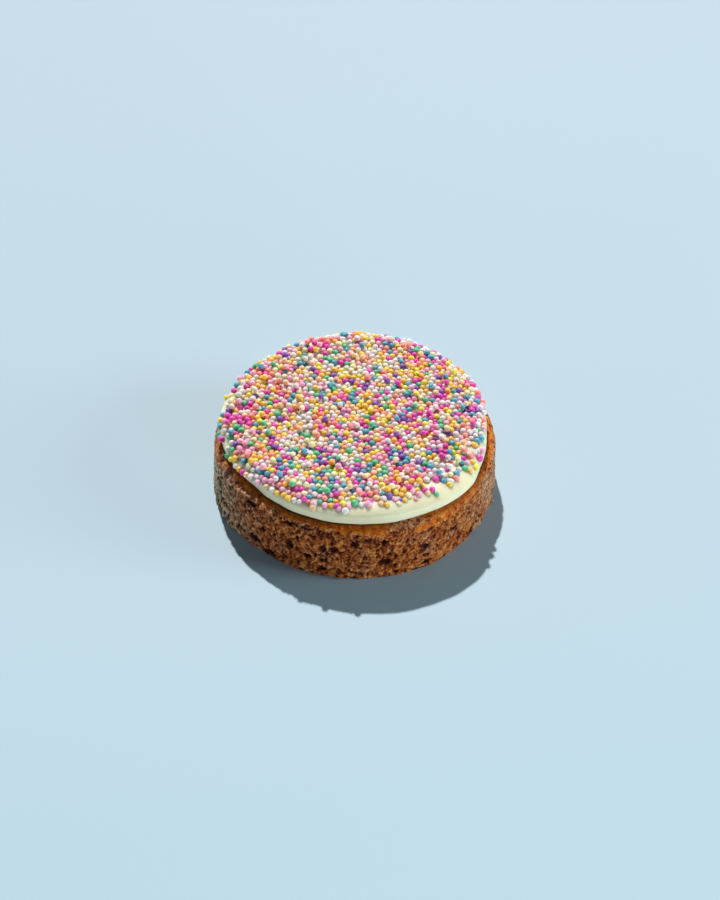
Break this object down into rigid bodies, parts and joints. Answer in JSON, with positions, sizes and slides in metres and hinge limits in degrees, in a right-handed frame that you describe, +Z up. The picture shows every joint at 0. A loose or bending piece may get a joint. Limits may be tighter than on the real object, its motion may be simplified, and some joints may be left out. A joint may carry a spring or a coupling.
{
  "type": "frosted sugar cookie",
  "caption": "Thick round sugar cookie with a brown crumb side, a disc of pale icing on top and a close layer of small round coloured sprinkles.",
  "frame": {"origin": "middle of the flat underside, at the centre of the cookie's outline", "axes": "+Z up out of the iced top, -Y towards the front where the icing's edge stays bare of sprinkles, +X to the right seen from the front"},
  "size_m": [0.0709, 0.0713, 0.0217],
  "materials": {
    "crumb": "matte open baked crumb, browned satin crust on top",
    "icing": "satin set icing with coloured sugar sprinkles"
  },
  "bodies": {
    "root": {"cookie": "crumb", "icing": "icing"}
  },
  "joints": []
}
